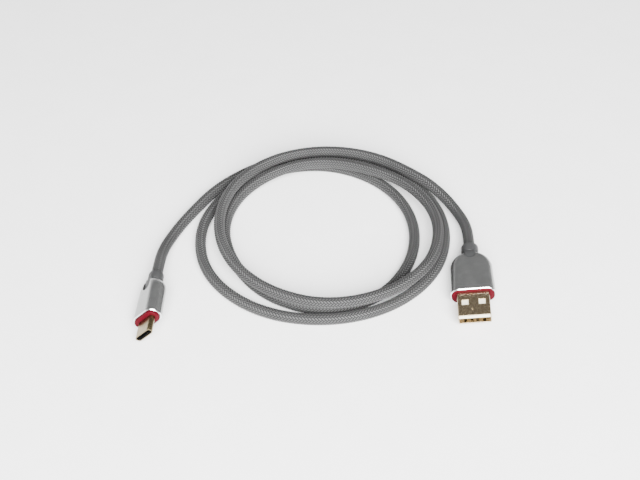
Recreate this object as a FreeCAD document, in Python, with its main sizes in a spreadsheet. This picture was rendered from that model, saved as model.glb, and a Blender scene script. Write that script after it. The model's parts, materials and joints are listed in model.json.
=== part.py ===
import FreeCAD, Part
import Sketcher
import math
import os

# A charging cable about one metre long. One end is a USB-A plug, the other a USB-C plug, and the
# braided cord between them lies in a loose coil of three and a half turns.
#
# The row frame: the origin is on the floor midway between the plugs, +Z is up, and both plugs
# point along -Y. Lengths are in millimetres.
#
# Each plug is drawn in its own frame. z is zero at the open tip of the metal shell and grows
# toward the cord, x runs across the wide face, and -y is the side that faces up.

SIZES = {
    # The cord, from its braid inward.
    "cord_diameter": "4.5",
    "sleeve_bore": "3.8",
    "jacket_diameter": "3.7",
    "jacket_bore": "2.9",
    "shield_diameter": "2.8",
    "shield_bore": "2.5",
    "wire_diameter": "0.94",
    "core_diameter": "0.46",
    "wire_offset": "0.52",
    # How far each layer goes on into a plug, past the end of the sleeve.
    "jacket_entry": "4.0",
    "shield_entry": "4.6",
    "wire_entry": "5.7",
    "core_entry": "7.2",
    "crimp_diameter": "4.9",
    # The board in each plug lies between the upper and the lower pair of cores.
    "board_thickness": "=2 * wire_offset - core_diameter",
    # Where both shells begin.
    "shell_front": "0",
    # How each plug lies: turned about its own axis, right side up.
    "a_roll": "9.4",
    "c_roll": "46",
    # The USB-A plug: sections first, then distances from the tip.
    "a_shell_width": "12.0",
    "a_shell_height": "4.5",
    "a_shell_wall": "0.3",
    "a_shell_corner": "0.6",
    "a_inner_width": "=a_shell_width - 2 * a_shell_wall",
    "a_inner_height": "=a_shell_height - 2 * a_shell_wall",
    "a_inner_corner": "=a_shell_corner - a_shell_wall",
    "a_window_width": "2.5",
    "a_window_length": "2.5",
    "a_window_across": "3.1",
    "a_window_along": "6.35",
    "a_dimple_diameter": "0.6",
    "a_dimple_depth": "0.15",
    "a_dimple_across": "-0.6",
    "a_dimple_first": "2.6",
    "a_dimple_second": "10.2",
    "a_tongue_underside": "-0.05",
    "a_contact_width": "1.0",
    "a_contact_thickness": "0.25",
    "a_contact_underside": "0.05",
    "a_power_across": "3.5",
    "a_data_across": "1.0",
    "a_insert_width": "16.0",
    "a_insert_height": "7.0",
    "a_insert_corner": "3.0",
    "a_mould_width": "12.6",
    "a_mould_height": "5.6",
    "a_mould_corner": "1.5",
    "a_housing_width": "16.8",
    "a_housing_waist": "16.0",
    "a_housing_height": "7.8",
    "a_housing_neck": "6.8",
    "a_housing_chamfer": "0.3",
    "a_housing_corner": "0.425",
    "a_collar_diameter": "6.4",
    "a_tab_width": "4.2",
    "a_tab_height": "6.9",
    "a_board_width": "9.0",
    "a_carrier_front": "0.4",
    "a_power_front": "1.0",
    "a_data_front": "2.0",
    "a_tongue_root": "9.0",
    "a_insert_front": "11.15",
    "a_mouth": "11.4",
    "a_insert_back": "16.0",
    "a_carrier_back": "16.0",
    "a_joggle_end": "16.6",
    "a_board_front": "16.7",
    "a_shell_back": "17.0",
    "a_contact_back": "18.6",
    "a_sleeve_stop": "28.0",
    "a_shoulder": "24.0",
    "a_tab_front": "27.7",
    "a_housing_back": "30.5",
    "a_tab_back": "32.2",
    "a_collar_back": "36.5",
    "a_board_back": "=a_sleeve_stop - 6.1",
    "a_chamber_back": "=a_sleeve_stop - 6.0",
    "a_crimp_front": "=a_sleeve_stop - jacket_entry",
    "a_mould_back": "=a_sleeve_stop - 1.0",
    # The USB-C plug, in the same order.
    "c_shell_width": "8.25",
    "c_shell_height": "2.4",
    "c_shell_wall": "0.25",
    "c_shell_corner": "1.15",
    "c_inner_width": "=c_shell_width - 2 * c_shell_wall",
    "c_inner_height": "=c_shell_height - 2 * c_shell_wall",
    "c_inner_corner": "=c_shell_corner - c_shell_wall",
    "c_slot_width": "6.9",
    "c_slot_height": "0.8",
    "c_contact_width": "0.25",
    "c_contact_thickness": "0.15",
    "c_contact_pitch": "0.5",
    "c_latch_thickness": "0.2",
    "c_latch_height": "0.6",
    "c_insert_width": "11.0",
    "c_insert_height": "6.0",
    "c_insert_corner": "2.7",
    "c_mould_width": "9.4",
    "c_mould_height": "5.2",
    "c_mould_corner": "1.9",
    "c_housing_width": "12.0",
    "c_housing_waist": "11.2",
    "c_housing_height": "6.9",
    "c_housing_neck": "6.0",
    "c_housing_chamfer": "0.3",
    "c_housing_corner": "0.42",
    "c_collar_diameter": "5.6",
    "c_tab_width": "3.6",
    "c_tab_height": "5.9",
    "c_board_width": "7.0",
    "c_resistor_width": "0.5",
    "c_resistor_length": "1.0",
    "c_resistor_height": "0.35",
    "c_resistor_across": "-1.0",
    "c_insulator_front": "0.3",
    "c_latch_front": "1.0",
    "c_contact_front": "0.7",
    "c_insert_front": "6.65",
    "c_slot_bottom": "6.6",
    "c_mouth": "7.6",
    "c_latch_back": "8.5",
    "c_insert_back": "11.0",
    "c_insulator_back": "12.0",
    "c_shell_back": "12.6",
    "c_contact_back": "13.4",
    "c_resistor_front": "13.9",
    "c_sleeve_stop": "22.2",
    "c_shoulder": "18.6",
    "c_tab_front": "19.9",
    "c_housing_back": "24.6",
    "c_tab_back": "26.0",
    "c_collar_back": "29.6",
    "c_board_back": "=c_sleeve_stop - 6.1",
    "c_chamber_back": "=c_sleeve_stop - 6.0",
    "c_crimp_front": "=c_sleeve_stop - jacket_entry",
    "c_mould_back": "=c_sleeve_stop - 1.0",
}

# Contacts present in a USB 2.0 type-C plug, by their number in a row of twelve.
UPPER_ROW = (1, 4, 5, 6, 7, 9, 12)
LOWER_ROW = (1, 4, 8, 9, 12)

# The cord's centre line, from the USB-C plug to the USB-A plug. Its first and last points are
# the ends of the sleeve inside the plugs.
FROM_USB_C = [
    (-61.15, 0.1, 5.52), (-60.76, 10.1, 5.52), (-60.2, 20.4, 4.9), (-57.9, 30.2, 2.9),
    (-53.4, 41.2, 2.25),
]
TO_USB_A = [
    (51.6, 52.0, 5.4), (56.5, 44.3, 3.8), (59.4, 35.2, 4.4), (59.39, 24.7, 4.82),
    (58.87, 14.2, 4.82),
]
# The coil between them goes clockwise round its middle. A turn starts at the left, and its points
# are thirty degrees apart. Each has a distance from the middle and a height above the floor.
COIL_MIDDLE = (2.0, 37.0)
FLOOR = 2.25
UPPER = 6.9
COIL_RADII = [
    [58.5, 49.7, 46.0, 44.1, 45.4, 48.0, 50.6, 51.3, 50.6, 50.3, 52.0, 52.7],
    [49.9, 44.9, 40.3, 38.3, 36.7, 36.6, 37.6, 40.1, 44.5, 45.5, 43.4, 40.6],
    [40.4, 39.6, 36.4, 35.0, 35.8, 41.7, 47.1, 49.1, 47.6, 46.6, 44.5, 43.2],
    [42.3, 42.5, 42.3, 42.6, 44.5, 47.9],
]
COIL_HEIGHTS = [
    [FLOOR] * 12,
    [FLOOR] * 12,
    [FLOOR, 2.5, 5.6] + [UPPER] * 9,
    [UPPER] * 6,
]

doc = FreeCAD.newDocument("charging_cable")
sheet = doc.addObject("Spreadsheet::Sheet", "Sizes")
for row, (alias, text) in enumerate(SIZES.items(), start=1):
    sheet.set("A%d" % row, alias)
    sheet.set("B%d" % row, text)
    sheet.setAlias("B%d" % row, alias)
doc.recompute()
nodes = []


# ---------------------------------------------------------------- helpers

def size(quantity):
    """A number, or the value of the cell with that alias."""
    return float(sheet.get(quantity)) if isinstance(quantity, str) else quantity


def bind(item, path, quantity):
    """Tie a property or a named constraint to the sheet when the quantity is an alias."""
    if isinstance(quantity, str):
        item.setExpression(path, "Sizes." + quantity)


def keep(item, label, placement):
    """Name a finished sub-part and put it where it belongs."""
    item.Label = label
    item.Placement = placement
    nodes.append(item)
    return item


def new_body(label, plug):
    body = doc.addObject("PartDesign::Body", label)
    return keep(body, label, plug)


def new_sketch(body, role="XY_Plane", offset=0.0):
    """A sketch on one of the body's own origin planes, moved along the plane's normal."""
    sketch = body.newObject("Sketcher::SketchObject", body.Label + "_sketch")
    plane = next(item for item in body.Origin.OriginFeatures if item.Role == role)
    sketch.AttachmentSupport = [(plane, "")]
    sketch.MapMode = "FlatFace"
    sketch.AttachmentOffset.Base = FreeCAD.Vector(0, 0, size(offset))
    bind(sketch, ".AttachmentOffset.Base.z", offset)
    return sketch


def polygon(sketch, points):
    """A closed outline with straight sides, each corner held at its own coordinates."""
    first = sketch.GeometryCount
    corners = [FreeCAD.Vector(x, y, 0) for x, y in points]
    for start, end in zip(corners, corners[1:] + corners[:1]):
        sketch.addGeometry(Part.LineSegment(start, end), False)
    for index, corner in enumerate(corners):
        line = first + index
        following = first + (index + 1) % len(corners)
        sketch.addConstraint(Sketcher.Constraint("Coincident", line, 2, following, 1))
        sketch.addConstraint(Sketcher.Constraint("DistanceX", -1, 1, line, 1, corner.x))
        sketch.addConstraint(Sketcher.Constraint("DistanceY", -1, 1, line, 1, corner.y))
    return sketch


def rectangle(sketch, x, y, width, height):
    """A rectangle about the point (x, y)."""
    left, right = x - width / 2, x + width / 2
    low, high = y - height / 2, y + height / 2
    return polygon(sketch, [(left, low), (right, low), (right, high), (left, high)])


def rounded_rectangle(sketch, width, height, radius):
    """A rectangle about the sketch's origin with four equal round corners."""
    half_width, half_height, corner = size(width) / 2, size(height) / 2, size(radius)
    inner_x, inner_y = half_width - corner, half_height - corner
    sides = [
        ((-inner_x, -half_height), (inner_x, -half_height)),
        ((half_width, -inner_y), (half_width, inner_y)),
        ((inner_x, half_height), (-inner_x, half_height)),
        ((-half_width, inner_y), (-half_width, -inner_y)),
    ]
    for start, end in sides:
        line = Part.LineSegment(FreeCAD.Vector(*start, 0), FreeCAD.Vector(*end, 0))
        sketch.addGeometry(line, False)
    centres = [(inner_x, -inner_y), (inner_x, inner_y), (-inner_x, inner_y), (-inner_x, -inner_y)]
    for index, centre in enumerate(centres):
        circle = Part.Circle(FreeCAD.Vector(*centre, 0), FreeCAD.Vector(0, 0, 1), corner)
        start = math.radians(90 * index - 90)
        sketch.addGeometry(Part.ArcOfCircle(circle, start, start + math.pi / 2), False)
    for index in range(4):
        arc = 4 + index
        sketch.addConstraint(Sketcher.Constraint("Tangent", index, 2, arc, 1))
        sketch.addConstraint(Sketcher.Constraint("Tangent", arc, 2, (index + 1) % 4, 1))
    for arc in (5, 6, 7):
        sketch.addConstraint(Sketcher.Constraint("Equal", 4, arc))
    sketch.addConstraint(Sketcher.Constraint("Horizontal", 2))
    sketch.addConstraint(Sketcher.Constraint("Vertical", 3))
    sketch.addConstraint(Sketcher.Constraint("Symmetric", 0, 1, 0, 2, -2))
    sketch.addConstraint(Sketcher.Constraint("Symmetric", 1, 1, 1, 2, -1))
    dimensions = [
        ("Radius", (4,), radius),
        ("DistanceX", (3, 2, 1, 1), width),
        ("DistanceY", (0, 2, 2, 1), height),
    ]
    for kind, where, quantity in dimensions:
        index = sketch.addConstraint(Sketcher.Constraint(kind, *where, size(quantity)))
        bind(sketch, "Constraints[%d]" % index, quantity)
    return sketch


def circle(sketch, diameter, x=0.0, y=0.0):
    """A circle about the point (x, y)."""
    centre = FreeCAD.Vector(x, y, 0)
    index = sketch.addGeometry(Part.Circle(centre, FreeCAD.Vector(0, 0, 1), size(diameter) / 2))
    sketch.addConstraint(Sketcher.Constraint("DistanceX", -1, 1, index, 3, x))
    sketch.addConstraint(Sketcher.Constraint("DistanceY", -1, 1, index, 3, y))
    last = sketch.addConstraint(Sketcher.Constraint("Diameter", index, size(diameter)))
    bind(sketch, "Constraints[%d]" % last, diameter)
    return sketch


def tab_outline(sketch, letter, start, stop):
    """A strip along the plug with a round front end."""
    half = size(letter + "tab_width") / 2
    middle, end = size(start) + half, size(stop)
    sides = [((-half, end), (-half, middle)), ((half, middle), (half, end)), ((half, end), (-half, end))]
    for one, other in sides:
        line = Part.LineSegment(FreeCAD.Vector(*one, 0), FreeCAD.Vector(*other, 0))
        sketch.addGeometry(line, False)
    round_end = Part.Circle(FreeCAD.Vector(0, middle, 0), FreeCAD.Vector(0, 0, 1), half)
    sketch.addGeometry(Part.ArcOfCircle(round_end, math.pi, 2 * math.pi), False)
    constraints = [
        ("Tangent", 0, 2, 3, 1), ("Tangent", 3, 2, 1, 1), ("Coincident", 1, 2, 2, 1),
        ("Coincident", 2, 2, 0, 1), ("Horizontal", 2), ("Vertical", 0), ("Vertical", 1),
        ("PointOnObject", 3, 3, -2), ("Radius", 3, half), ("DistanceY", -1, 1, 3, 3, middle),
        ("DistanceY", -1, 1, 2, 1, end),
    ]
    for constraint in constraints:
        sketch.addConstraint(Sketcher.Constraint(*constraint))
    return sketch


def extrude(body, kind, draw, start, stop):
    """Pad or pocket what draw() puts in a sketch, from one distance along the plug to another."""
    sketch = new_sketch(body, offset=start)
    draw(sketch)
    feature = body.newObject("PartDesign::" + kind, body.Label + "_" + kind.lower())
    feature.Profile = sketch
    feature.setExpression("Length", "Sizes.%s - Sizes.%s" % (stop, start))
    feature.Reversed = kind == "Pocket"
    doc.recompute()
    return feature


def mirror(body, feature):
    """Repeat a feature on the other side of the body's YZ plane."""
    mirrored = body.newObject("PartDesign::Mirrored", body.Label + "_mirrored")
    mirrored.Originals = [feature]
    plane = next(item for item in body.Origin.OriginFeatures if item.Role == "YZ_Plane")
    mirrored.MirrorPlane = (plane, [""])
    body.Tip = mirrored
    doc.recompute()
    return mirrored


def sleeve_body(label, plug, outer, inner, start, stop):
    """A body with one rounded outline outside and another right through it."""
    body = new_body(label, plug)
    extrude(body, "Pad", lambda sketch: rounded_rectangle(sketch, *outer), start, stop)
    extrude(body, "Pocket", lambda sketch: rounded_rectangle(sketch, *inner), start, stop)
    return body


def ring_body(label, plug, outer, inner, start, stop):
    """A body with a round outside and a round bore."""
    body = new_body(label, plug)
    extrude(body, "Pad", lambda sketch: circle(sketch, outer), start, stop)
    extrude(body, "Pocket", lambda sketch: circle(sketch, inner), start, stop)
    return body


def edges_at(shape, z):
    """The names of the edges that lie wholly at one distance along the plug."""
    return [
        "Edge%d" % number
        for number, edge in enumerate(shape.Edges, start=1)
        if abs(edge.BoundBox.ZMin - z) < 1e-4 and abs(edge.BoundBox.ZMax - z) < 1e-4
    ]


def chamfer(body, feature, z, width):
    """Chamfer every edge of a feature at one distance along the plug, measured in the body."""
    shape = feature.Shape.copy()
    shape.Placement = FreeCAD.Placement()
    bevel = body.newObject("PartDesign::Chamfer", body.Label + "_chamfer")
    bevel.Base = (feature, edges_at(shape, size(z)))
    bevel.Size = size(width)
    bind(bevel, "Size", width)
    doc.recompute()
    return bevel


def box(label, plug, x, y, z, width, height, length):
    """A plain block; x, y and z are its lowest corner, and length runs along the plug."""
    block = doc.addObject("Part::Box", label)
    for name, quantity in (("Length", width), ("Width", height), ("Height", length)):
        setattr(block, name, size(quantity))
        bind(block, name, quantity)
    corner = FreeCAD.Placement(FreeCAD.Vector(x, y, z), FreeCAD.Rotation())
    return keep(block, label, plug.multiply(corner))


def coil_point(turn, step):
    angle = math.radians(180 - 30 * step)
    radius = COIL_RADII[turn][step]
    return (
        COIL_MIDDLE[0] + radius * math.cos(angle),
        COIL_MIDDLE[1] + radius * math.sin(angle),
        COIL_HEIGHTS[turn][step],
    )


# The first point of the first turn is left out: the lead from the plug comes in there.
coil = [coil_point(turn, step) for turn, radii in enumerate(COIL_RADII) for step in range(len(radii))]
CORD_POINTS = [FreeCAD.Vector(*point) for point in FROM_USB_C + coil[1:] + TO_USB_A]


def plug_placement(end, following, stop, roll):
    """The frame of a plug whose axis runs through the cord's end and the point after it."""
    tail = (following - end).normalize()
    yaw = math.degrees(math.atan2(tail.y, tail.x)) - 90
    turned = FreeCAD.Rotation(FreeCAD.Vector(0, 0, 1), yaw)
    rolled = FreeCAD.Rotation(FreeCAD.Vector(0, 1, 0), -size(roll))
    laid = FreeCAD.Rotation(FreeCAD.Vector(1, 0, 0), -90)
    return FreeCAD.Placement(end - tail * size(stop), turned * rolled * laid)


usb_c = plug_placement(CORD_POINTS[0], CORD_POINTS[1], "c_sleeve_stop", "c_roll")
usb_a = plug_placement(CORD_POINTS[-1], CORD_POINTS[-2], "a_sleeve_stop", "a_roll")


# ---------------------------------------------------------------- USB-A plug

def usb_a_shell():
    outer = ("a_shell_width", "a_shell_height", "a_shell_corner")
    inner = ("a_inner_width", "a_inner_height", "a_inner_corner")
    body = sleeve_body("usb_a_shell", usb_a, outer, inner, "shell_front", "a_shell_back")
    # Two windows through both wide faces, for the latch springs of the socket.
    window = rectangle(
        new_sketch(body, "XZ_Plane"), size("a_window_across"), size("a_window_along"),
        size("a_window_width"), size("a_window_length"))
    windows = body.newObject("PartDesign::Pocket", "usb_a_shell_windows")
    windows.Profile = window
    windows.SideType = "Symmetric"
    windows.Type = "ThroughAll"
    mirror(body, windows)
    # Two small round marks from the press tool, in the upper face.
    top = new_sketch(body, "XZ_Plane", size("a_shell_height") / 2)
    for along in ("a_dimple_first", "a_dimple_second"):
        circle(top, "a_dimple_diameter", size("a_dimple_across"), size(along))
    dimples = body.newObject("PartDesign::Pocket", "usb_a_shell_dimples")
    dimples.Profile = top
    bind(dimples, "Length", "a_dimple_depth")
    doc.recompute()


def usb_a_contact_slot(sketch):
    """The section of the two contacts on the right, cut through the carrier."""
    thickness = size("a_contact_thickness")
    middle = size("a_contact_underside") - thickness / 2
    for across in ("a_power_across", "a_data_across"):
        rectangle(sketch, size(across), middle, size("a_contact_width"), thickness)


def usb_a_carrier():
    """The plastic block in the shell: a tongue under its upper wall and a base behind."""
    body = new_body("usb_a_carrier", usb_a)
    block = ("a_inner_width", "a_inner_height", "a_inner_corner")
    front, back = "a_carrier_front", "a_carrier_back"
    extrude(body, "Pad", lambda sketch: rounded_rectangle(sketch, *block), front, back)
    underside, floor = size("a_tongue_underside"), size("a_inner_height") / 2
    cavity = (0.0, (underside + floor) / 2, size("a_inner_width"), floor - underside)
    extrude(body, "Pocket", lambda sketch: rectangle(sketch, *cavity), front, "a_tongue_root")
    slots = extrude(body, "Pocket", usb_a_contact_slot, "a_power_front", back)
    mirror(body, slots)


def usb_a_contacts(label, across, front):
    """A pair of stamped strips that step up onto the board behind the carrier."""
    body = new_body(label, usb_a)
    body.AllowCompound = True
    thickness = size("a_contact_thickness")
    low = size("a_contact_underside")
    high = -size("board_thickness") / 2
    step, landing, tail = size("a_carrier_back"), size("a_joggle_end"), size("a_contact_back")
    under = [(low, size(front)), (low, step), (high, landing), (high, tail)]
    upper = [(y - thickness, z) for y, z in reversed(under)]
    profile = polygon(new_sketch(body, "YZ_Plane", across), under + upper)
    strip = body.newObject("PartDesign::Pad", label + "_pad")
    strip.Profile = profile
    strip.SideType = "Symmetric"
    bind(strip, "Length", "a_contact_width")
    doc.recompute()
    mirror(body, strip)


def housing(label, plug, letter):
    """A metal sleeve with a bevelled mouth and round shoulders that close on the cord."""
    body = new_body(label, plug)
    mouth, back = letter + "mouth", letter + "housing_back"
    width, height = size(letter + "housing_width"), size(letter + "housing_height")
    waist, neck = size(letter + "housing_waist"), size(letter + "housing_neck")
    bevel, shoulder = size(letter + "housing_chamfer"), size(letter + "shoulder")
    sections = [
        (size(mouth), width - 2 * bevel, height - 2 * bevel),
        (size(mouth) + bevel, width, height),
    ]
    for degrees in range(0, 91, 15):
        forward = math.sin(math.radians(degrees))
        inward = 1 - math.cos(math.radians(degrees))
        sections.append((
            shoulder + (size(back) - shoulder) * forward,
            waist - (waist - neck) * inward,
            height - (height - neck) * inward ** 2,
        ))
    sketches = []
    for distance, across, deep in sections:
        corner = size(letter + "housing_corner") * min(across, deep)
        sketches.append(rounded_rectangle(new_sketch(body, offset=distance), across, deep, corner))
    loft = body.newObject("PartDesign::AdditiveLoft", label + "_loft")
    loft.Profile = sketches[0]
    loft.Sections = sketches[1:]
    loft.Ruled = True
    doc.recompute()
    fit = tuple(letter + "insert_" + name for name in ("width", "height", "corner"))
    fill = tuple(letter + "mould_" + name for name in ("width", "height", "corner"))
    step, stop = letter + "insert_back", letter + "mould_back"
    extrude(body, "Pocket", lambda sketch: rounded_rectangle(sketch, *fit), mouth, step)
    extrude(body, "Pocket", lambda sketch: rounded_rectangle(sketch, *fill), step, stop)
    bore = letter + "collar_diameter"
    extrude(body, "Pocket", lambda sketch: circle(sketch, bore), stop, back)
    # A round-ended notch in each wide face, where the collar's tabs lie.
    notch = body.newObject("PartDesign::Pocket", label + "_notch")
    notch.Profile = tab_outline(new_sketch(body, "XZ_Plane"), letter, letter + "tab_front", back)
    notch.SideType = "Symmetric"
    notch.Type = "ThroughAll"
    doc.recompute()


def inner_mould(label, plug, letter, front):
    """The fill behind the insert, with a chamber for the board and a bore for the crimp."""
    body = new_body(label, plug)
    block = tuple(letter + "mould_" + name for name in ("width", "height", "corner"))
    room = tuple(letter + "shell_" + name for name in ("width", "height", "corner"))
    chamber, back = letter + "chamber_back", letter + "mould_back"
    extrude(body, "Pad", lambda sketch: rounded_rectangle(sketch, *block), front, back)
    extrude(body, "Pocket", lambda sketch: rounded_rectangle(sketch, *room), front, chamber)
    extrude(body, "Pocket", lambda sketch: circle(sketch, "crimp_diameter"), chamber, back)


def collar(label, plug, letter):
    """The round strain relief: its neck fills the back of the housing, its tabs the notches."""
    start, stop = letter + "mould_back", letter + "collar_back"
    body = new_body(label, plug)
    diameter = letter + "collar_diameter"
    tube = extrude(body, "Pad", lambda sketch: circle(sketch, diameter), start, stop)
    chamfer(body, tube, stop, 0.4)
    outline = new_sketch(body, "XZ_Plane")
    tabs = body.newObject("PartDesign::Pad", label + "_tabs")
    tabs.Profile = tab_outline(outline, letter, letter + "tab_front", letter + "tab_back")
    tabs.SideType = "Symmetric"
    bind(tabs, "Length", letter + "tab_height")
    doc.recompute()
    extrude(body, "Pocket", lambda sketch: circle(sketch, "cord_diameter"), start, stop)
    # Where the tabs reach forward past the neck, they lie on the inner mould.
    if size(letter + "tab_front") < size(start):
        mould = tuple(letter + "mould_" + name for name in ("width", "height", "corner"))
        under = lambda sketch: rounded_rectangle(sketch, *mould)
        extrude(body, "Pocket", under, letter + "tab_front", start)


def board(label, plug, letter, front):
    width, thickness = size(letter + "board_width"), size("board_thickness")
    length = size(letter + "board_back") - size(front)
    box(label, plug, -width / 2, -thickness / 2, size(front), letter + "board_width",
        "board_thickness", length)


usb_a_shell()
usb_a_carrier()
usb_a_contacts("usb_a_power_contacts", "a_power_across", "a_power_front")
usb_a_contacts("usb_a_data_contacts", "a_data_across", "a_data_front")
sleeve_body(
    "usb_a_insert", usb_a, ("a_insert_width", "a_insert_height", "a_insert_corner"),
    ("a_shell_width", "a_shell_height", "a_shell_corner"), "a_insert_front", "a_insert_back")
housing("usb_a_housing", usb_a, "a_")
inner_mould("usb_a_inner_mould", usb_a, "a_", "a_insert_back")
board("usb_a_board", usb_a, "a_", "a_board_front")
ring_body("usb_a_crimp", usb_a, "crimp_diameter", "jacket_diameter", "a_crimp_front", "a_mould_back")
collar("usb_a_collar", usb_a, "a_")


# ---------------------------------------------------------------- USB-C plug

def usb_c_row(sketch, numbers, side):
    """The sections of one row of contacts; side is -1 for the upper row and 1 for the lower."""
    thickness = size("c_contact_thickness")
    middle = side * (size("board_thickness") + thickness) / 2
    for number in numbers:
        across = (number - 6.5) * size("c_contact_pitch")
        rectangle(sketch, across, middle, size("c_contact_width"), thickness)


def usb_c_latch(sketch):
    """The sections of the two springs at the sides of the slot."""
    thickness = size("c_latch_thickness")
    across = (size("c_slot_width") - thickness) / 2
    for x in (-across, across):
        rectangle(sketch, x, 0.0, thickness, size("c_latch_height"))


def usb_c_strips(label, draw, start, stop):
    """Several straight strips of metal that share one node."""
    body = new_body(label, usb_c)
    body.AllowCompound = True
    extrude(body, "Pad", draw, start, stop)


def usb_c_insulator():
    """The dark plastic core of the plug: a flat slot in front, with the contacts let into it."""
    body = new_body("usb_c_insulator", usb_c)
    block = ("c_inner_width", "c_inner_height", "c_inner_corner")
    slot = (0.0, 0.0, size("c_slot_width"), size("c_slot_height"))
    front, back = "c_insulator_front", "c_insulator_back"
    extrude(body, "Pad", lambda sketch: rounded_rectangle(sketch, *block), front, back)
    extrude(body, "Pocket", lambda sketch: rectangle(sketch, *slot), front, "c_slot_bottom")
    extrude(body, "Pocket", upper_row, "c_contact_front", back)
    extrude(body, "Pocket", lower_row, "c_contact_front", back)
    extrude(body, "Pocket", usb_c_latch, "c_latch_front", "c_latch_back")


def upper_row(sketch):
    usb_c_row(sketch, UPPER_ROW, -1)


def lower_row(sketch):
    usb_c_row(sketch, LOWER_ROW, 1)


sleeve_body(
    "usb_c_shell", usb_c, ("c_shell_width", "c_shell_height", "c_shell_corner"),
    ("c_inner_width", "c_inner_height", "c_inner_corner"), "shell_front", "c_shell_back")
usb_c_insulator()
usb_c_strips("usb_c_upper_contacts", upper_row, "c_contact_front", "c_contact_back")
usb_c_strips("usb_c_lower_contacts", lower_row, "c_contact_front", "c_contact_back")
usb_c_strips("usb_c_latch_springs", usb_c_latch, "c_latch_front", "c_latch_back")
sleeve_body(
    "usb_c_insert", usb_c, ("c_insert_width", "c_insert_height", "c_insert_corner"),
    ("c_shell_width", "c_shell_height", "c_shell_corner"), "c_insert_front", "c_insert_back")
housing("usb_c_housing", usb_c, "c_")
inner_mould("usb_c_inner_mould", usb_c, "c_", "c_insert_back")
board("usb_c_board", usb_c, "c_", "c_insulator_back")
box(
    "usb_c_resistor", usb_c, size("c_resistor_across"),
    -size("board_thickness") / 2 - size("c_resistor_height"), size("c_resistor_front"),
    "c_resistor_width", "c_resistor_height", "c_resistor_length")
ring_body("usb_c_crimp", usb_c, "crimp_diameter", "jacket_diameter", "c_crimp_front", "c_mould_back")
collar("usb_c_collar", usb_c, "c_")


# ---------------------------------------------------------------- cord

def spine(points, entry):
    """Straight runs joined by tangent arcs. Its ends go on into the plugs by entry."""
    first_run = (points[0] - points[1]).normalize()
    last_run = (points[-1] - points[-2]).normalize()
    start = points[0] + first_run * entry
    edges = []
    radii = []
    for before, corner, after in zip(points, points[1:], points[2:]):
        arriving, leaving = corner - before, after - corner
        half_turn = arriving.getAngle(leaving) / 2
        cut = 0.45 * min(arriving.Length, leaving.Length)
        radius = cut / math.tan(half_turn)
        arriving.normalize()
        leaving.normalize()
        arc_start = corner - arriving * cut
        arc_end = corner + leaving * cut
        inward = (leaving - arriving).normalize()
        arc_middle = corner + inward * (radius / math.cos(half_turn) - radius)
        edges.append(Part.LineSegment(start, arc_start).toShape())
        edges.append(Part.Arc(arc_start, arc_middle, arc_end).toShape())
        start = arc_end
        radii.append(radius)
    edges.append(Part.LineSegment(start, points[-1] + last_run * entry).toShape())
    return Part.Wire(edges), radii


def tube(path, diameter, bore=None):
    """A round section carried along a path, solid unless it has a bore."""
    start = path.Edges[0].valueAt(path.Edges[0].FirstParameter)
    direction = path.Edges[0].tangentAt(path.Edges[0].FirstParameter)
    rings = [Part.Wire(Part.Circle(start, direction, size(diameter) / 2).toShape())]
    if bore:
        rings.append(Part.Wire(Part.Circle(start, direction, size(bore) / 2).toShape()))
    section = Part.makeFace(rings, "Part::FaceMakerBullseye")
    solid = path.makePipe(section)
    expected = section.Area * path.Length
    print("  %.1f mm3, section times length %.1f mm3" % (solid.Volume, expected))
    return solid


def beside(points, quarter):
    """The line of one of the four wires, which turn slowly so that they meet both boards."""
    first = size("c_roll") - 90
    last = -size("a_roll")
    reach = math.sqrt(2) * size("wire_offset")
    up = FreeCAD.Vector(0, 0, 1)
    line = []
    for index, point in enumerate(points):
        before = points[max(index - 1, 0)]
        after = points[min(index + 1, len(points) - 1)]
        arriving = (point - before) if index else (after - point)
        leaving = (after - point) if index < len(points) - 1 else arriving
        sides = [run.cross(up).normalize() for run in (arriving, leaving)]
        side = (sides[0] + sides[1]).normalize()
        spread = 1 / side.dot(sides[0])
        share = index / (len(points) - 1)
        angle = math.radians(first + (last - first) * share + 45 + 90 * quarter)
        line.append(point + side * (reach * math.cos(angle) * spread) + up * (reach * math.sin(angle)))
    return line


def cord_piece(label, shape):
    item = doc.addObject("Part::Feature", label)
    item.Shape = shape
    return keep(item, label, FreeCAD.Placement())


centre_line, bend_radii = spine(CORD_POINTS, 0.0)
print("cord length %.1f mm between the ends of its sleeve" % centre_line.Length)
print("bend radii, mm:", " ".join("%.1f" % radius for radius in bend_radii))
cord_piece("braided_sleeve", tube(centre_line, "cord_diameter", "sleeve_bore"))
jacket_line, unused = spine(CORD_POINTS, size("jacket_entry"))
cord_piece("cord_jacket", tube(jacket_line, "jacket_diameter", "jacket_bore"))
shield_line, unused = spine(CORD_POINTS, size("shield_entry"))
cord_piece("cord_shield", tube(shield_line, "shield_diameter", "shield_bore"))
cores = []
for quarter, colour in enumerate(("red", "white", "green", "black")):
    own_line = beside(CORD_POINTS, quarter)
    wire_line, unused = spine(own_line, size("wire_entry"))
    core_line, unused = spine(own_line, size("core_entry"))
    cord_piece("wire_%s" % colour, tube(wire_line, "wire_diameter", "core_diameter"))
    cores.append(tube(core_line, "core_diameter"))
cord_piece("wire_cores", Part.makeCompound(cores))


# ---------------------------------------------------------------- checks and files

doc.recompute()
for item in doc.Objects:
    if "Invalid" in item.State or "Error" in item.State:
        raise RuntimeError("%s is %s" % (item.Label, item.State))
os.makedirs("parts", exist_ok=True)
whole = FreeCAD.BoundBox()
for item in nodes:
    if item.Shape.isNull() or not item.Shape.isValid():
        raise RuntimeError("%s has no valid shape" % item.Label)
    item.Shape.exportStep("parts/%s.step" % item.Label)
    whole.add(item.Shape.BoundBox)
    low, high = item.Shape.BoundBox.ZMin, item.Shape.BoundBox.ZMax
    print("%-22s %9.2f mm3, z %.3f to %.3f" % (item.Label, item.Shape.Volume, low, high))
print("%d nodes, %s" % (len(nodes), whole))
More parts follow.
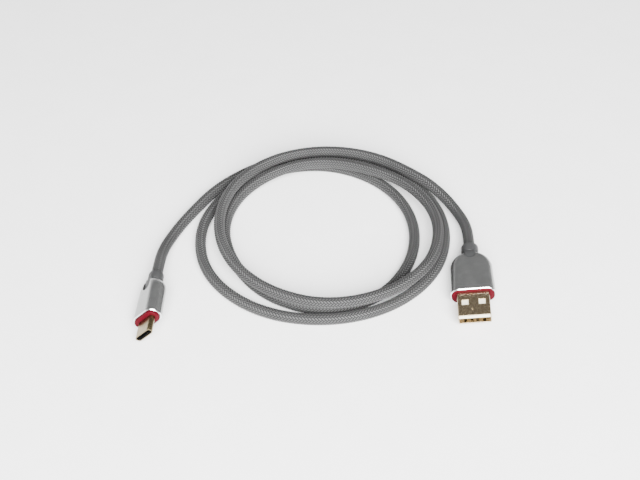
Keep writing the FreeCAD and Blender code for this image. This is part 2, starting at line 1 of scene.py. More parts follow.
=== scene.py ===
"""A braided charging cable, USB-A to USB-C, lying in a loose coil on a pale floor.

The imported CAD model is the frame. Everything is in metres in the row frame: the origin is on the
floor midway between the plugs, +Z is up, and both plugs point along -Y. Sizes of the cable written
as plain numbers are in millimetres. Those of the camera, the light and the floor are in metres.
"""
import json
import math

import bmesh
import bpy
import numpy as np
from mathutils import Euler, Matrix, Vector


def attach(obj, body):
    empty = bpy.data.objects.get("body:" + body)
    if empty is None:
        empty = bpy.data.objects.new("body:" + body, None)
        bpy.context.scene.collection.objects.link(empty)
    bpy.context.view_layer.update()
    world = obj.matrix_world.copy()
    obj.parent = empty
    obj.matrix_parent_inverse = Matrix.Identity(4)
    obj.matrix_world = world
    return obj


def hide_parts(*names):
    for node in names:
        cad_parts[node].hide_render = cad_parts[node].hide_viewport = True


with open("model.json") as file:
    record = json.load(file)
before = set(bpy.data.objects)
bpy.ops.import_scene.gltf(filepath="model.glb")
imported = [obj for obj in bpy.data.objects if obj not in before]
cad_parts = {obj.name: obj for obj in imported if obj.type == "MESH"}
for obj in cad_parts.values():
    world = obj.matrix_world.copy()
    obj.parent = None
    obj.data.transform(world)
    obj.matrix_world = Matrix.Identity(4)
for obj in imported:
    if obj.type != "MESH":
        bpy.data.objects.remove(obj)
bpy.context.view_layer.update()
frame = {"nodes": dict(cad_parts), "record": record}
MM = 0.001


# ---------------------------------------------------------------- the cord's route

CORD_DIAMETER = 4.5 * MM
# From the USB-C plug to the USB-A plug, in millimetres, as part.py has it.
FROM_USB_C = [
    (-61.15, 0.1, 5.52), (-60.76, 10.1, 5.52), (-60.2, 20.4, 4.9), (-57.9, 30.2, 2.9),
    (-53.4, 41.2, 2.25),
]
TO_USB_A = [
    (51.6, 52.0, 5.4), (56.5, 44.3, 3.8), (59.4, 35.2, 4.4), (59.39, 24.7, 4.82),
    (58.87, 14.2, 4.82),
]
# The coil goes clockwise round its middle. A turn starts at the left, and its points are thirty
# degrees apart, each with a distance from the middle and a height above the floor.
COIL_MIDDLE = (2.0, 37.0)
FLOOR = 2.25    # the height of the cord's middle in a turn on the floor, and in one on top of others
UPPER = 6.9
COIL_RADII = [
    [58.5, 49.7, 46.0, 44.1, 45.4, 48.0, 50.6, 51.3, 50.6, 50.3, 52.0, 52.7],
    [49.9, 44.9, 40.3, 38.3, 36.7, 36.6, 37.6, 40.1, 44.5, 45.5, 43.4, 40.6],
    [40.4, 39.6, 36.4, 35.0, 35.8, 41.7, 47.1, 49.1, 47.6, 46.6, 44.5, 43.2],
    [42.3, 42.5, 42.3, 42.6, 44.5, 47.9],
]
COIL_HEIGHTS = [
    [FLOOR] * 12,
    [FLOOR] * 12,
    [FLOOR, 2.5, 5.6] + [UPPER] * 9,
    [UPPER] * 6,
]


def coil_point(turn, step):
    angle = math.radians(180 - 30 * step)
    radius = COIL_RADII[turn][step]
    return (
        COIL_MIDDLE[0] + radius * math.cos(angle),
        COIL_MIDDLE[1] + radius * math.sin(angle),
        COIL_HEIGHTS[turn][step],
    )


# The first point of the first turn is left out: the lead from the plug comes in there.
coil = [coil_point(turn, step) for turn, radii in enumerate(COIL_RADII) for step in range(len(radii))]
route = [Vector(point) * MM for point in FROM_USB_C + coil[1:] + TO_USB_A]


# ---------------------------------------------------------------- camera, light and floor

CAMERA_PLACE = (0.001, -0.251, 0.28265)
CAMERA_DOWN = 45       # degrees below level
CAMERA_LENS = 56.25    # on a sensor 36 mm wide
SOFTBOX_PLACE = (0.14, -0.74, 0.60)
SOFTBOX_AIM = (0, 0.03, 0)
SOFTBOX_SIDE = 0.9
SOFTBOX_WATTS = 86.0
ROOM_LIGHT = 0.3       # what every direction gives
LEFT_LIGHT = 1.2       # what the bright walls add, low down at the left and at the right
RIGHT_LIGHT = 0.3
FLOOR_REACH = 3.0


def add_camera():
    data = bpy.data.cameras.new("camera")
    data.lens = CAMERA_LENS
    data.sensor_width = 36.0
    camera = bpy.data.objects.new("camera", data)
    camera.location = CAMERA_PLACE
    camera.rotation_euler = Euler((math.radians(90 - CAMERA_DOWN), 0, 0))
    bpy.context.scene.collection.objects.link(camera)
    bpy.context.scene.camera = camera


def add_softbox():
    data = bpy.data.lights.new("softbox", "AREA")
    data.shape = "SQUARE"
    data.size = SOFTBOX_SIDE
    data.energy = SOFTBOX_WATTS
    light = bpy.data.objects.new("softbox", data)
    light.location = SOFTBOX_PLACE
    aim = Vector(SOFTBOX_AIM) - Vector(SOFTBOX_PLACE)
    light.rotation_euler = aim.to_track_quat("-Z", "Y").to_euler()
    bpy.context.scene.collection.objects.link(light)


add_camera()
add_softbox()


class Nodes:
    """A short way to write the node tree of a material or a world."""

    def __init__(self, name, owner=None):
        self.material = owner or bpy.data.materials.new(name)
        self.material.use_nodes = True
        self.tree = self.material.node_tree
        self.shader = self.tree.nodes.get("Principled BSDF")

    def add(self, kind, inputs=None, **settings):
        node = self.tree.nodes.new(kind)
        for name, value in settings.items():
            setattr(node, name, value)
        for name, value in (inputs or {}).items():
            self.set(node.inputs[name], value)
        return node

    def set(self, socket, value):
        if isinstance(value, bpy.types.NodeSocket):
            self.tree.links.new(value, socket)
        else:
            socket.default_value = value

    def math(self, operation, first, second=0.0):
        node = self.add("ShaderNodeMath", {0: first, 1: second}, operation=operation)
        return node.outputs[0]

    def mix(self, factor, first, second):
        node = self.add("ShaderNodeMix", data_type="RGBA")
        self.set(node.inputs[0], factor)
        self.set(node.inputs[6], first)
        self.set(node.inputs[7], second)
        return node.outputs[2]

    def ramp(self, factor, low, high, low_value=0.0, high_value=1.0):
        """A smooth step from low_value to high_value as factor goes from low to high."""
        values = {"Value": factor, "From Min": low, "From Max": high}
        values.update({"To Min": low_value, "To Max": high_value})
        node = self.add("ShaderNodeMapRange", values, interpolation_type="SMOOTHSTEP")
        return node.outputs["Result"]

    def noise(self, scale, detail):
        settings = {"Scale": scale, "Detail": detail, "Vector": self.position()}
        return self.add("ShaderNodeTexNoise", settings).outputs["Fac"]

    def position(self):
        return self.add("ShaderNodeTexCoord").outputs["Object"]

    def bump(self, height, distance, strength, normal=None):
        sizes = {"Height": height, "Distance": distance, "Strength": strength}
        node = self.add("ShaderNodeBump", sizes)
        if normal:
            self.set(node.inputs["Normal"], normal)
        return node.outputs["Normal"]

    def finish(self, **inputs):
        for name, value in inputs.items():
            self.set(self.shader.inputs[name.replace("_", " ")], value)
        return self.material


def grey(value):
    return (value, value, value, 1.0)


def studio_world():
    """A dim room with walls that are bright up to 7 degrees and fade by 25, brightest on the left."""
    world = bpy.data.worlds.new("studio")
    n = Nodes("studio", world)
    direction = n.add("ShaderNodeSeparateXYZ", {0: n.add("ShaderNodeTexCoord").outputs["Generated"]})
    low = n.ramp(direction.outputs["Z"], 0.12, 0.42, 1.0, 0.0)
    walls = n.ramp(direction.outputs["X"], -0.45, 0.35, LEFT_LIGHT, RIGHT_LIGHT)
    strength = n.math("ADD", n.math("MULTIPLY", low, walls), ROOM_LIGHT)
    background = n.tree.nodes["Background"]
    n.set(background.inputs["Color"], (1, 1, 1, 1))
    n.set(background.inputs["Strength"], strength)
    return world


bpy.context.scene.world = studio_world()


def floor_material():
    n = Nodes("pale_floor")
    shade = n.ramp(n.noise(60, 3), 0.3, 0.7, 0.91, 0.93)
    colour = n.add("ShaderNodeCombineColor", {"Red": shade, "Green": shade, "Blue": shade})
    return n.finish(Base_Color=colour.outputs[0], Roughness=0.7)


def floor_plane():
    corners = [(x * FLOOR_REACH, y * FLOOR_REACH, 0) for x, y in ((-1, -1), (1, -1), (1, 1), (-1, 1))]
    mesh = bpy.data.meshes.new("floor")
    mesh.from_pydata(corners, [], [(0, 1, 2, 3)])
    mesh.materials.append(floor_material())
    floor = bpy.data.objects.new("floor", mesh)
    bpy.context.scene.collection.objects.link(floor)
    return floor


floor_plane()


# ---------------------------------------------------------------- materials

CARRIERS = 12          # bundles of yarn that wind each way round the cord
YARN_SHEEN_BRIGHT = 0.080     # the greys of the two hands of one yarn, which differ only by painted sheen, and the painted shade of the gaps between them
YARN_SHEEN_DIM = 0.061
YARN_GAP_SHADE = 0.001


def plastic(name, colour, roughness, specular=0.4, grain=0.15):
    """Moulded plastic: faint cloudiness, a fine grain and uneven gloss."""
    n = Nodes(name)
    dark = tuple(channel * (1 - grain) for channel in colour)
    base = n.mix(n.noise(400, 4), (*dark, 1), (*colour, 1))
    fine = n.noise(6000, 3)
    gloss = n.ramp(n.noise(900, 3), 0.3, 0.7, roughness - 0.06, roughness + 0.06)
    normal = n.bump(fine, 0.02 * MM, 0.5)
    return n.finish(Base_Color=base, Roughness=gloss, Normal=normal, Specular_IOR_Level=specular)


def plated(name, colour, roughness, edge=0.12):
    """Plated sheet metal: rounded edges, cloudy marks and fine specks."""
    n = Nodes(name)
    marks = n.noise(700, 4)
    specks = n.noise(5000, 2)
    tone = n.math("ADD", n.math("MULTIPLY", marks, 0.35), n.math("MULTIPLY", specks, 0.65))
    dark = tuple(channel * 0.72 for channel in colour)
    base = n.mix(n.ramp(tone, 0.35, 0.65), (*dark, 1), (*colour, 1))
    rough = n.ramp(tone, 0.3, 0.7, roughness - 0.07, roughness + 0.07)
    rounded = n.add("ShaderNodeBevel", {"Radius": edge * MM}, samples=6).outputs["Normal"]
    normal = n.bump(tone, 0.012 * MM, 0.5, rounded)
    return n.finish(Base_Color=base, Metallic=1.0, Roughness=rough, Normal=normal)


def blasted_metal():
    """Bead-blasted, anodised aluminium: satin, with a fine even pitting."""
    n = Nodes("blasted_grey_metal")
    pits = n.noise(7000, 2)
    cloud = n.noise(250, 3)
    tone = n.math("ADD", n.math("MULTIPLY", pits, 0.6), n.math("MULTIPLY", cloud, 0.4))
    base = n.mix(n.ramp(tone, 0.35, 0.65), (0.24, 0.242, 0.240, 1), (0.29, 0.293, 0.290, 1))
    rough = n.ramp(cloud, 0.3, 0.7, 0.21, 0.27)
    normal = n.bump(pits, 0.008 * MM, 0.5)
    return n.finish(Base_Color=base, Metallic=0.9, Roughness=rough, Normal=normal)


def cut_rim():
    """The bright rim, cut after blasting: turning marks run round it."""
    n = Nodes("cut_bright_rim")
    marks = n.noise(2500, 3)
    base = n.mix(marks, grey(0.86), grey(0.95))
    rough = n.ramp(marks, 0.3, 0.7, 0.14, 0.24)
    normal = n.bump(marks, 0.006 * MM, 0.4)
    return n.finish(Base_Color=base, Metallic=1.0, Roughness=rough, Normal=normal)


def foil():
    """Crinkled aluminium foil."""
    n = Nodes("crinkled_foil")
    cells = n.add("ShaderNodeTexVoronoi", {"Vector": n.position(), "Scale": 1500.0})
    folds = cells.outputs["Distance"]
    base = n.mix(folds, grey(0.62), grey(0.85))
    normal = n.bump(folds, 0.05 * MM, 0.7)
    return n.finish(Base_Color=base, Metallic=1.0, Roughness=0.3, Normal=normal)


def circuit_board():
    """Green solder mask over a faint pattern of straight tracks."""
    n = Nodes("green_board")
    tracks = n.add("ShaderNodeTexBrick", {"Vector": n.position(), "Scale": 700.0, "Mortar Size": 0.08})
    raised = tracks.outputs["Fac"]
    base = n.mix(raised, (0.02, 0.16, 0.06, 1), (0.05, 0.30, 0.12, 1))
    normal = n.bump(raised, 0.02 * MM, 0.6)
    return n.finish(Base_Color=base, Roughness=0.35, Normal=normal)


def braid():
    """Two hands of one yarn, over and under each other in diamonds; one hand is lighter by painted
    sheen, and the gaps between them are dark with painted shade.
    """
    n = Nodes("grey_braid")
    uv = n.add("ShaderNodeUVMap", uv_map="braid").outputs["UV"]
    parts = n.add("ShaderNodeSeparateXYZ", {0: uv})
    column = n.math("MULTIPLY", parts.outputs["X"], 2 * CARRIERS)
    row = n.math("MULTIPLY", parts.outputs["Y"], 2 * CARRIERS)
    falling = n.math("ADD", column, row)
    rising = n.math("SUBTRACT", column, row)
    # The two bundles, one of each hand, that cross where a point is.
    first = n.math("ROUND", n.math("MULTIPLY", falling, 0.5))
    second = n.math("ROUND", n.math("MULTIPLY", rising, 0.5))
    # Each bundle lies over two of the other hand and then under two. The distance from the middle
    # of the part that lies over, counted in crossings, is under 1 there and over 1 elsewhere.
    light_along = n.math("ADD", first, n.math("MULTIPLY", rising, 0.5))
    light_along = n.math("PINGPONG", n.math("SUBTRACT", light_along, 0.5), 2.0)
    dark_along = n.math("ADD", second, n.math("MULTIPLY", falling, 0.5))
    dark_along = n.math("PINGPONG", n.math("SUBTRACT", dark_along, 2.5), 2.0)
    light_over = n.math("LESS_THAN", light_along, 1.0)
    light_across = n.math("PINGPONG", falling, 1.0)
    dark_across = n.math("PINGPONG", rising, 1.0)
    across = n.add("ShaderNodeMix", {0: light_over, 2: dark_across, 3: light_across}).outputs[0]
    along = n.add("ShaderNodeMix", {0: light_over, 2: dark_along, 3: light_along}).outputs[0]
    # Painted shade: each bundle darkens to the gap grey towards its sides and towards its ends, where
    # it dips under the other hand.
    side = n.ramp(across, 0.25, 0.85, 1.0, 0.0)
    end = n.ramp(along, 0.65, 1.0, 1.0, 0.0)
    top = n.math("MULTIPLY", side, end)
    strands = n.math("COSINE", n.math("MULTIPLY", across, 4 * math.pi))
    fuzz = n.noise(9000, 3)
    patch = n.noise(90, 2)
    tone = n.math("ADD", n.math("MULTIPLY", strands, 0.08), n.math("MULTIPLY", fuzz, 0.45))
    tone = n.math("ADD", tone, n.math("MULTIPLY", patch, 0.25))
    fleck = n.ramp(tone, 0.2, 0.6, 0.65, 1.25)
    # Painted sheen: the two hands are the same yarn, and the hand that runs one way gets a brighter
    # grey than the hand that runs the other way.
    yarn = n.mix(light_over, grey(YARN_SHEEN_DIM), grey(YARN_SHEEN_BRIGHT))
    shaded = n.add("ShaderNodeVectorMath", {0: yarn, "Scale": fleck}, operation="SCALE").outputs[0]
    colour = n.mix(top, grey(YARN_GAP_SHADE), shaded)
    height = n.math("ADD", n.math("MULTIPLY", strands, 0.4), fuzz)
    normal = n.bump(height, 0.05 * MM, 0.6)
    return n.finish(
        Base_Color=colour, Roughness=0.7, Normal=normal, Sheen_Weight=0.05, Sheen_Roughness=0.5,
        Specular_IOR_Level=0.25)


FINISHES = {
    "cord_braid": braid(),
    "cord_jacket": plastic("dark_cord_jacket", (0.05, 0.05, 0.055), 0.5),
    "foil_shield": foil(),
    "wire_red": plastic("red_wire", (0.45, 0.01, 0.01), 0.4),
    "wire_white": plastic("white_wire", (0.75, 0.75, 0.72), 0.4),
    "wire_green": plastic("green_wire", (0.01, 0.22, 0.04), 0.4),
    "wire_black": plastic("black_wire", (0.015, 0.015, 0.015), 0.4),
    "copper": plated("bare_copper", (0.72, 0.30, 0.15), 0.3),
    "plated_shell_a": plated("gold_plated_shell", (0.58, 0.46, 0.30), 0.24),
    "plated_shell_c": plated("pale_gold_shell", (0.28, 0.225, 0.125), 0.3),
    "cream_plastic": plastic("cream_plastic", (0.80, 0.74, 0.58), 0.4),
    "contact_gold": plated("bright_gold_contacts", (0.30, 0.235, 0.14), 0.22, 0.04),
    "spring_steel": plated("spring_steel", (0.55, 0.55, 0.53), 0.25, 0.04),
    "red_insert": plastic("red_plastic", (0.052, 0.0, 0.0035), 0.5, 0.08),
    "grey_housing": blasted_metal(),
    "grey_collar": plastic("grey_collar_plastic", (0.034, 0.0345, 0.035), 0.5, 0.3),
    "dark_mould": plastic("dark_mould_fill", (0.02, 0.02, 0.02), 0.6),
    "black_plastic": plastic("black_plastic", (0.0015, 0.0015, 0.0015), 0.45, 0.04),
    "circuit_board": circuit_board(),
    "crimp_metal": plated("crimp_metal", (0.60, 0.60, 0.58), 0.35),
}
BRIGHT_RIM = cut_rim()
slots = {part["node"]: part["material_slot"] for part in frame["record"]["subparts"]}
for name, node in frame["nodes"].items():
    for material_slot in node.material_slots:
        material_slot.material = FINISHES[slots[name]]


# ---------------------------------------------------------------- mesh helpers

def add_piece(name, mesh, slot, node):
    """Links a mesh as a piece of the object under the root, gives it the slot's finish if it has none,
    and hides the CAD node it stands for.
    """
    piece = bpy.data.objects.new(name, mesh)
    if not mesh.materials:
        mesh.materials.append(FINISHES[slot])
    bpy.context.scene.collection.objects.link(piece)
    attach(piece, "root")
    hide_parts(node)
    return piece


CORNER_STEPS = 8


def outline(width, height, corner):
    """Points round a rectangle with round corners. Any two outlines have matching points."""
    points = []
    flats = (height - 2 * corner, width - 2 * corner)
    for quarter in range(4):
        angle = quarter * math.pi / 2
        right = 1 if quarter in (0, 3) else -1
        top = 1 if quarter < 2 else -1
        centre = Vector((right * flats[1] / 2, top * flats[0] / 2))
        start = Vector((math.cos(angle), math.sin(angle)))
        stop = Vector((-start.y, start.x))
        # A point on each flat beside the corner keeps the flat's shading flat.
        before, after = flats[quarter % 2], flats[(quarter + 1) % 2]
        points.append(centre + start * corner - stop * min(0.2 * corner, 0.3 * before))
        for step in range(CORNER_STEPS + 1):
            turn = angle + step * math.pi / 2 / CORNER_STEPS
            points.append(centre + Vector((math.cos(turn), math.sin(turn))) * corner)
        points.append(centre + stop * corner - start * min(0.2 * corner, 0.3 * after))
    return points


def ring(radius):
    """Points round a circle, as many as an outline has."""
    count = 4 * (CORNER_STEPS + 3)
    shift = math.pi / 4 - (CORNER_STEPS + 2) * math.pi / count
    angles = [shift + 2 * math.pi * k / count for k in range(count)]
    return [Vector((radius * math.cos(angle), radius * math.sin(angle))) for angle in angles]


def loft(mesh, sections):
    """Faces between each outline and the next, and between the last and the first.

    A section is (outline, distance from the tip, material index of the band that follows).
    """
    loops = []
    for points, along, _ in sections:
        loops.append([mesh.verts.new((x, y, along)) for x, y in points])
    for band in range(len(loops)):
        near, far = loops[band], loops[(band + 1) % len(loops)]
        for k in range(len(near)):
            after = (k + 1) % len(near)
            face = mesh.faces.new((near[k], near[after], far[after], far[k]))
            face.material_index = sections[band][2]


def settle(mesh, name, place, sharp_above):
    """Turns a bmesh in plug coordinates into a shaded mesh in the row frame."""
    bmesh.ops.recalc_face_normals(mesh, faces=mesh.faces)
    bmesh.ops.transform(mesh, matrix=place, verts=mesh.verts)
    data = bpy.data.meshes.new(name)
    mesh.to_mesh(data)
    mesh.free()
    data.polygons.foreach_set("use_smooth", [True] * len(data.polygons))
    data.set_sharp_from_angle(angle=math.radians(sharp_above))
    return data


# ---------------------------------------------------------------- the braided cord

CELL = math.pi * CORD_DIAMETER / (2 * CARRIERS)
BRAID_DEPTH = 0.2 * MM


def route_line():
    """Points read from the route's smooth NURBS spline, with no thickness."""
    data = bpy.data.curves.new("cord_route", "CURVE")
    data.dimensions = "3D"
    data.resolution_u = 24
    spline = data.splines.new("NURBS")
    spline.points.add(len(route) - 1)
    for point, place in zip(spline.points, route):
        point.co = (*place, 1.0)
    spline.order_u = 3
    spline.use_endpoint_u = True
    guide = bpy.data.objects.new("cord_route", data)
    bpy.context.scene.collection.objects.link(guide)
    mesh = bpy.data.meshes.new_from_object(guide)
    line = [vertex.co.copy() for vertex in mesh.vertices]
    bpy.data.meshes.remove(mesh)
    bpy.data.objects.remove(guide)
    bpy.data.curves.remove(data)
    return np.array(line)


def even_stations(line, spacing):
    """The line again with points an equal distance apart, about spacing, and its length."""
    along = np.concatenate([[0], np.cumsum(np.linalg.norm(np.diff(line, axis=0), axis=1))])
    count = int(round(along[-1] / spacing))
    wanted = np.linspace(0, along[-1], count + 1)
    return np.stack([np.interp(wanted, along, line[:, axis]) for axis in range(3)], axis=1), along[-1]


def untwisted_frames(points):
    """At each point, two directions across the line that turn with it but do not spin round it."""
    tangents = np.gradient(points, axis=0)
    tangents /= np.linalg.norm(tangents, axis=1)[:, None]
    across = np.cross(tangents[0], (0, 0, 1))
    sides = []
    for tangent in tangents:
        across = across - tangent * np.dot(across, tangent)
        across /= np.linalg.norm(across)
        sides.append(across)
    sides = np.array(sides)
    return sides, np.cross(sides, tangents)


def braid_mesh(points, length):
    """A tube of small pillows, one where each pair of yarn bundles crosses.

    Rows follow the cord and columns go round it. Every second place is the top of a pillow, and
    the places between are the low corners where four pillows meet.
    """
    columns = 2 * CARRIERS
    rows = len(points)
    sides, ups = untwisted_frames(points)
    row, column = np.meshgrid(np.arange(rows), np.arange(columns), indexing="ij")
    high = (row + column) % 2 == 0
    radius = np.where(high, CORD_DIAMETER / 2, CORD_DIAMETER / 2 - BRAID_DEPTH)
    angle = 2 * math.pi * column / columns
    vertices = (
        points[:, None, :]
        + sides[:, None, :] * (radius * np.cos(angle))[..., None]
        + ups[:, None, :] * (radius * np.sin(angle))[..., None]
    ).reshape(-1, 3)
    faces = []
    corners_uv = []

    def add(*places):
        faces.append([r * columns + c % columns for r, c in places])
        corners_uv.extend((c / columns, r * length / (rows - 1) / (columns * CELL)) for r, c in places)

    for r in range(rows):
        for c in range(columns):
            if (r + c) % 2:
                continue
            if r + 1 < rows:
                add((r, c), (r + 1, c), (r, c + 1))
                add((r, c), (r, c - 1), (r + 1, c))
            if r > 0:
                add((r, c), (r - 1, c), (r, c - 1))
                add((r, c), (r, c + 1), (r - 1, c))
    mesh = bpy.data.meshes.new("braided_cord")
    mesh.from_pydata(vertices.tolist(), [], faces)
    layer = mesh.uv_layers.new(name="braid")
    layer.data.foreach_set("uv", np.array(corners_uv, dtype=np.float32).ravel())
    mesh.polygons.foreach_set("use_smooth", [True] * len(mesh.polygons))
    mesh.update()
    return mesh


stations, cord_length = even_stations(route_line(), CELL)
cord = add_piece("braided_cord", braid_mesh(stations, cord_length), "cord_braid", "braided_sleeve")


# ---------------------------------------------------------------- the plugs

def plug_place(end, following, stop, roll):
    """From plug coordinates in millimetres to the row frame.

    In plug coordinates x goes across the wide faces, y through the plug and z from its tip to its
    tail. The plug's axis runs through the cord's end, which is stop from the tip, and the route's
    next point. roll is how many degrees the plug is turned about its axis.
    """
    tail = (following - end).normalized()
    yaw = Matrix.Rotation(math.atan2(tail.y, tail.x) - math.pi / 2, 4, "Z")
    rolled = Matrix.Rotation(-math.radians(roll), 4, "Y")
    laid = Matrix.Rotation(-math.pi / 2, 4, "X")
    return Matrix.Translation(end - tail * stop * MM) @ yaw @ rolled @ laid @ Matrix.Scale(MM, 4)


# Distances are from the tip of each plug. corner is the radius of a housing's corners over its
# smaller side, bevel is the bright chamfer round the mouth, and the housing tapers from width to
# waist and then rounds in to neck. insert and shell are each a width, a height and a corner radius.
# bore and collar are radii. The tab lies in the notch of each wide face.
USB_A = {
    "place": plug_place(route[-1], route[-2], stop=28.0, roll=9.4),
    "width": 16.8, "waist": 16.0, "height": 7.8, "neck": 6.8, "corner": 0.425, "bevel": 0.3,
    "mouth": 11.4, "shoulder": 24.0, "back": 30.5, "end": 36.5,
    "insert": (16.0, 7.0, 3.0), "insert_front": 11.15, "insert_back": 16.0,
    "shell": (12.0, 4.5, 0.6),
    "bore": 3.2, "mould_back": 27.0, "tab_width": 4.2, "tab_height": 6.9, "tab_front": 27.7,
    "tab_back": 32.2, "collar": 3.32,
}
USB_C = {
    "place": plug_place(route[0], route[1], stop=22.2, roll=46.0),
    "width": 12.0, "waist": 11.2, "height": 6.9, "neck": 6.0, "corner": 0.42, "bevel": 0.3,
    "mouth": 7.6, "shoulder": 18.6, "back": 24.6, "end": 29.6,
    "insert": (11.0, 6.0, 2.7), "insert_front": 6.65, "insert_back": 11.0,
    "shell": (8.25, 2.4, 1.15),
    "bore": 2.8, "mould_back": 21.2, "tab_width": 3.6, "tab_height": 5.9, "tab_front": 19.9,
    "tab_back": 26.0, "collar": 2.9,
}
NOTCH_GAP = 0.12              # between the sides of a notch and the tab in it
INSERT_GAP = 0.1              # how much narrower the insert is than its hole
INSERT_EDGE = 0.3             # the radius of the insert's front edge
COLLAR_INNER_RADIUS = 2.1     # a little under the cord's, so that the collar grips the braid
COLLAR_FLATNESS = 0.955       # where the collar's round section is cut flat, over its radius
TAB_ROOT = 0.6                # how far a tab starts inside the neck
TAB_EDGE = 0.2                # the rounding of a tab's outer edge
TAB_STEPS = 16                # points round its front end
HOUSING_SHARP = 28            # edges that turn by more degrees than this are shaded sharp
INSERT_SHARP = 40
COLLAR_SHARP = 32


def tab_shape(width, front, back):
    """The outline of a strip along the plug with a round front end."""
    half = width / 2
    points = [(half, back)]
    for step in range(TAB_STEPS + 1):
        angle = math.pi * step / TAB_STEPS
        points.append((half * math.cos(angle), front + half - half * math.sin(angle)))
    points.append((-half, back))
    return points


def prism(mesh, shape, low, high, inset=0.0):
    """A block with the given outline in x and z, from y = low to y = high, rounded there by inset."""
    middle = sum(z for _, z in shape) / len(shape)
    wide = max(x for x, _ in shape)
    levels = [(low, 1.0), (high, 1.0)]
    if inset:
        small = 1 - inset / wide
        rounding = math.copysign(inset, high - low)
        levels = [(low, 1.0), (high - rounding, 1.0)]
        levels += [(high - rounding * 0.3, (1 + 2 * small) / 3), (high, small)]
    loops = []
    for y, scale in levels:
        loops.append([mesh.verts.new((x * scale, y, middle + (z - middle) * scale)) for x, z in shape])
    for near, far in zip(loops, loops[1:]):
        for k in range(len(near)):
            after = (k + 1) % len(near)
            mesh.faces.new((near[k], near[after], far[after], far[k]))
    mesh.faces.new(loops[0])
    mesh.faces.new(loops[-1])


def subtract(data, cutter_data):
    """The first mesh with the second cut out of it."""
    whole = bpy.data.objects.new("whole", data)
    cutter = bpy.data.objects.new("cutter", cutter_data)
    for thing in (whole, cutter):
        bpy.context.scene.collection.objects.link(thing)
    cut = whole.modifiers.new("notch", "BOOLEAN")
    cut.operation = "DIFFERENCE"
    cut.solver = "EXACT"
    cut.object = cutter
    depsgraph = bpy.context.evaluated_depsgraph_get()
    result = bpy.data.meshes.new_from_object(whole.evaluated_get(depsgraph))
    result.set_sharp_from_angle(angle=math.radians(HOUSING_SHARP))
    for thing in (whole, cutter):
        bpy.data.objects.remove(thing)
    return result


def housing_mesh(name, plug):
    """The metal sleeve: a bright rim at the mouth, a slow taper and round shoulders, hollow inside."""

    def section(width, height):
        return outline(width, height, plug["corner"] * min(width, height))

    mouth, bevel, shoulder, back = (plug[key] for key in ("mouth", "bevel", "shoulder", "back"))
    width, waist, height, neck = (plug[key] for key in ("width", "waist", "height", "neck"))
    hole_width, hole_height, hole_corner = plug["insert"]
    hole = outline(hole_width, hole_height, hole_corner)
    # Close pairs of sections keep each edge crisp and the faces beside it flat in shading.
    sections = [
        (hole, plug["insert_back"], 1),
        (hole, mouth + 0.04, 1),
        (outline(hole_width + 0.06, hole_height + 0.06, hole_corner), mouth, 1),
        (section(width - 2 * bevel - 0.05, height - 2 * bevel - 0.05), mouth, 1),
        (section(width - 2 * bevel + 0.05, height - 2 * bevel + 0.05), mouth + 0.03, 1),
        (section(width - 0.06, height - 0.06), mouth + bevel - 0.03, 1),
        (section(width, height), mouth + bevel + 0.05, 0),
        (section(width, height), mouth + bevel + 0.2, 0),
    ]
    for degrees in range(0, 91, 6):
        inward = 1 - math.cos(math.radians(degrees))
        across = waist - (waist - neck) * inward
        deep = height - (height - neck) * inward ** 2
        along = shoulder + (back - shoulder) * math.sin(math.radians(degrees))
        sections.append((section(across, deep), along, 0))
    bore = ring(plug["bore"])
    sections.append((bore, back, 0))
    sections.append((bore, plug["mould_back"], 0))
    body = bmesh.new()
    loft(body, sections)
    data = settle(body, name, Matrix(), HOUSING_SHARP)
    data.materials.append(FINISHES["grey_housing"])
    data.materials.append(BRIGHT_RIM)

    cutter = bmesh.new()
    shape = tab_shape(plug["tab_width"] + 2 * NOTCH_GAP, plug["tab_front"] - NOTCH_GAP, back + 1)
    prism(cutter, shape, -height, height)
    result = subtract(data, settle(cutter, name + "_notch", Matrix(), HOUSING_SHARP))
    result.transform(plug["place"])
    return result


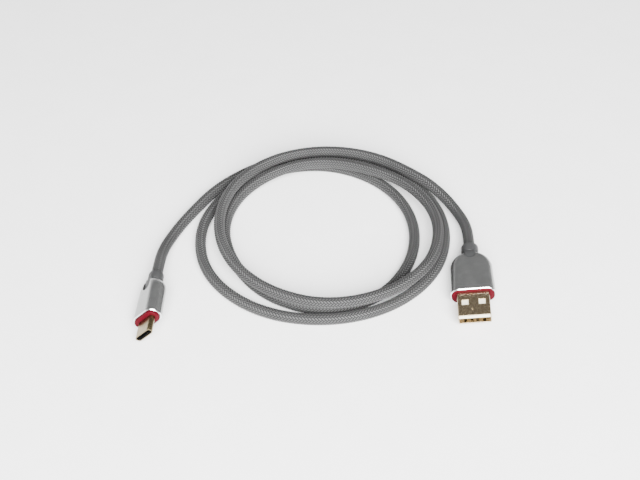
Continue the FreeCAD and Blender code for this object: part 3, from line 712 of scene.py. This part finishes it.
def insert_mesh(name, plug):
    """The red insert, proud of the mouth, with rounded edges and the hole for the shell."""
    width, height, corner = (side - INSERT_GAP for side in plug["insert"])
    front, back = plug["insert_front"], plug["insert_back"]
    shell_width, shell_height, shell_corner = plug["shell"]
    edge = INSERT_EDGE
    sections = [(outline(width, height, corner), back, 0)]
    for degrees in range(0, 91, 15):
        inset = edge * (1 - math.cos(math.radians(degrees)))
        along = front + edge * (1 - math.sin(math.radians(degrees)))
        sections.append((outline(width - 2 * inset, height - 2 * inset, corner - inset), along, 0))
    hole = outline(shell_width + 0.05, shell_height + 0.05, shell_corner + 0.02)
    hole_edge = outline(shell_width + 0.25, shell_height + 0.25, shell_corner + 0.12)
    sections += [(hole_edge, front, 0), (hole, front + 0.15, 0), (hole, back, 0)]
    mesh = bmesh.new()
    loft(mesh, sections)
    return settle(mesh, name, plug["place"], INSERT_SHARP)


def collar_mesh(name, plug):
    """The strain relief: a neck with a round-ended tab in each notch, a groove, then the collar."""
    neck, collar, seam, end = plug["bore"], plug["collar"], plug["tab_back"], plug["end"]
    inner, front = COLLAR_INNER_RADIUS, plug["mould_back"]
    # Each is a radius and a distance from the tip: neck, groove, collar, then its rounded back edge.
    profile = [
        (inner, front), (neck - 0.02, front), (neck - 0.02, seam - 0.25),
        (neck - 0.12, seam - 0.12), (neck - 0.22, seam), (neck - 0.12, seam + 0.1),
        (collar - 0.05, seam + 0.18), (collar, seam + 0.35), (collar, end - 0.5),
        (collar - 0.12, end - 0.2), (collar - 0.4, end - 0.03), (collar - 0.6, end), (inner, end),
    ]
    flat = COLLAR_FLATNESS * collar
    sections = []
    for radius, along in profile:
        sections.append(([(x, max(-flat, min(flat, y))) for x, y in ring(radius)], along, 0))
    mesh = bmesh.new()
    loft(mesh, sections)
    shape = tab_shape(plug["tab_width"], plug["tab_front"], seam - 0.15)
    for side in (-1, 1):
        prism(mesh, shape, side * (neck - TAB_ROOT), side * plug["tab_height"] / 2, TAB_EDGE)
    return settle(mesh, name, plug["place"], COLLAR_SHARP)


# What makes each piece, its name, its slot and the CAD node it stands for. Both names follow usb_a_
# or usb_c_.
PLUG_PIECES = (
    (housing_mesh, "metal_housing", "grey_housing", "housing"),
    (insert_mesh, "red_insert", "red_insert", "insert"),
    (collar_mesh, "strain_relief", "grey_collar", "collar"),
)
on_cord = []
replaced = []
for letter, plug in (("a", USB_A), ("c", USB_C)):
    for make, suffix, slot, part in PLUG_PIECES:
        name = f"usb_{letter}_{suffix}"
        stands_for = f"usb_{letter}_{part}"
        on_cord.append(add_piece(name, make(name, plug), slot, stands_for))
        replaced.append(stands_for)
kept = [name for name in frame["nodes"] if name.startswith("usb_") and name not in replaced]
on_cord += [frame["nodes"][name] for name in kept]
